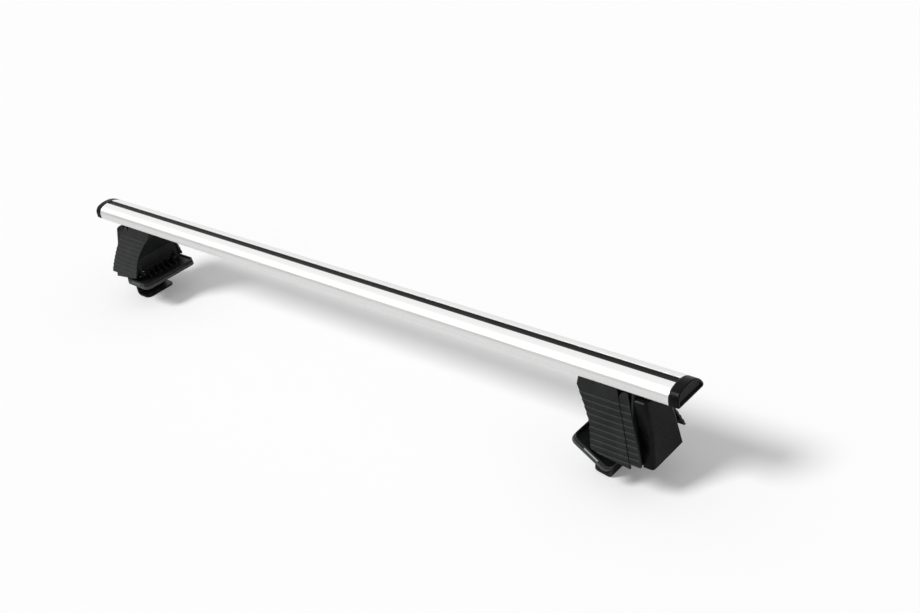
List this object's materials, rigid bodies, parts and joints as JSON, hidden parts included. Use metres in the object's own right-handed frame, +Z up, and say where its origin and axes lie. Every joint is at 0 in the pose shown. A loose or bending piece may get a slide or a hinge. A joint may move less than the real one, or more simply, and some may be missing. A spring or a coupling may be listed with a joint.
{
  "type": "roof rack crossbar",
  "caption": "Wing-section aluminium roof rack crossbar on clamping feet with tilting rubber pads, swinging clamp hooks and pull-off covers.",
  "frame": {"origin": "centre of the footprint, on the ground that the clamp hooks stand on", "axes": "X along the bar towards its right end, Y across the bar to the rear, Z up"},
  "size_m": [1.2794, 0.114, 0.1744],
  "materials": {
    "bar_aluminium": "satin anodised",
    "strip_rubber": "matte extruded",
    "cap_plastic": "satin moulded, dished face textured",
    "foot_plastic": "satin moulded",
    "cover_plastic": "satin moulded",
    "pad_rubber": "matte moulded",
    "insert_steel": "zinc plated",
    "hook_black": "powder coated",
    "zinc_steel": "zinc plated"
  },
  "bodies": {
    "bar": {"bar_extrusion": "bar_aluminium", "slot_infill_strip": "strip_rubber", "end_cap_left": "cap_plastic", "end_cap_right": "cap_plastic", "foot_shell_left": "foot_plastic", "foot_frame_left": "foot_plastic", "saddle_plate_left": "zinc_steel", "saddle_screws_left": "zinc_steel", "slot_nuts_left": "zinc_steel", "shell_screws_left": "zinc_steel", "thrust_washer_left": "zinc_steel", "pivot_bolts_left": "zinc_steel", "pivot_nuts_left": "zinc_steel", "foot_shell_right": "foot_plastic", "foot_frame_right": "foot_plastic", "saddle_plate_right": "zinc_steel", "saddle_screws_right": "zinc_steel", "slot_nuts_right": "zinc_steel", "shell_screws_right": "zinc_steel", "thrust_washer_right": "zinc_steel", "pivot_bolts_right": "zinc_steel", "pivot_nuts_right": "zinc_steel"},
    "cover_left": {"outer_cover_left": "cover_plastic"},
    "bolt_left": {"clamp_bolt_left": "zinc_steel", "stop_collar_left": "zinc_steel"},
    "nut_left": {"barrel_nut_left": "zinc_steel"},
    "hook_left": {"clamp_hook_left": "hook_black"},
    "pad_left": {"pad_tray_left": "foot_plastic", "pad_insert_left": "insert_steel", "rubber_pad_left": "pad_rubber"},
    "cover_right": {"outer_cover_right": "cover_plastic"},
    "bolt_right": {"clamp_bolt_right": "zinc_steel", "stop_collar_right": "zinc_steel"},
    "nut_right": {"barrel_nut_right": "zinc_steel"},
    "hook_right": {"clamp_hook_right": "hook_black"},
    "pad_right": {"pad_tray_right": "foot_plastic", "pad_insert_right": "insert_steel", "rubber_pad_right": "pad_rubber"}
  },
  "joints": [
    {"name": "pad_tilt_left", "type": "hinge", "parent": "bar", "child": "pad_left", "pos_m": [-0.5214, 0, 0.059], "axis": [0, -1, 0], "range_deg": [0, 34]},
    {"name": "bolt_turn_left", "type": "hinge", "parent": "bar", "child": "bolt_left", "pos_m": [-0.563, 0, 0.091], "axis": [-0.9992, 0, 0.0388], "range_deg": [0, 8070.76]},
    {"name": "nut_travel_left", "type": "slide", "parent": "bar", "child": "nut_left", "axis": [0.9992, 0, -0.0388], "range_m": [0, 0.02801]},
    {"name": "hook_swing_left", "type": "hinge", "parent": "nut_left", "child": "hook_left", "pos_m": [-0.563, 0, 0.091], "axis": [0, -1, 0], "range_deg": [-5, 14]},
    {"name": "cover_pull_left", "type": "slide", "parent": "bar", "child": "cover_left", "axis": [-1, 0, 0], "range_m": [0, 0.03]},
    {"name": "pad_tilt_right", "type": "hinge", "parent": "bar", "child": "pad_right", "pos_m": [0.5214, 0, 0.059], "axis": [0, 1, 0], "range_deg": [-34, 0]},
    {"name": "bolt_turn_right", "type": "hinge", "parent": "bar", "child": "bolt_right", "pos_m": [0.563, 0, 0.091], "axis": [0.9992, 0, 0.0388], "range_deg": [-8070.76, 0]},
    {"name": "nut_travel_right", "type": "slide", "parent": "bar", "child": "nut_right", "axis": [-0.9992, 0, -0.0388], "range_m": [-0.02801, 0]},
    {"name": "hook_swing_right", "type": "hinge", "parent": "nut_right", "child": "hook_right", "pos_m": [0.53502, 0, 0.08991], "axis": [0, 1, 0], "range_deg": [-15, 4]},
    {"name": "cover_pull_right", "type": "slide", "parent": "bar", "child": "cover_right", "axis": [1, 0, 0], "range_m": [0, 0.03]}
  ],
  "couplings": [
    {"joint": "bolt_turn_left", "follows": "nut_travel_left", "rad_per_m": 5026.5},
    {"joint": "bolt_turn_right", "follows": "nut_travel_right", "rad_per_m": 5026.5}
  ]
}
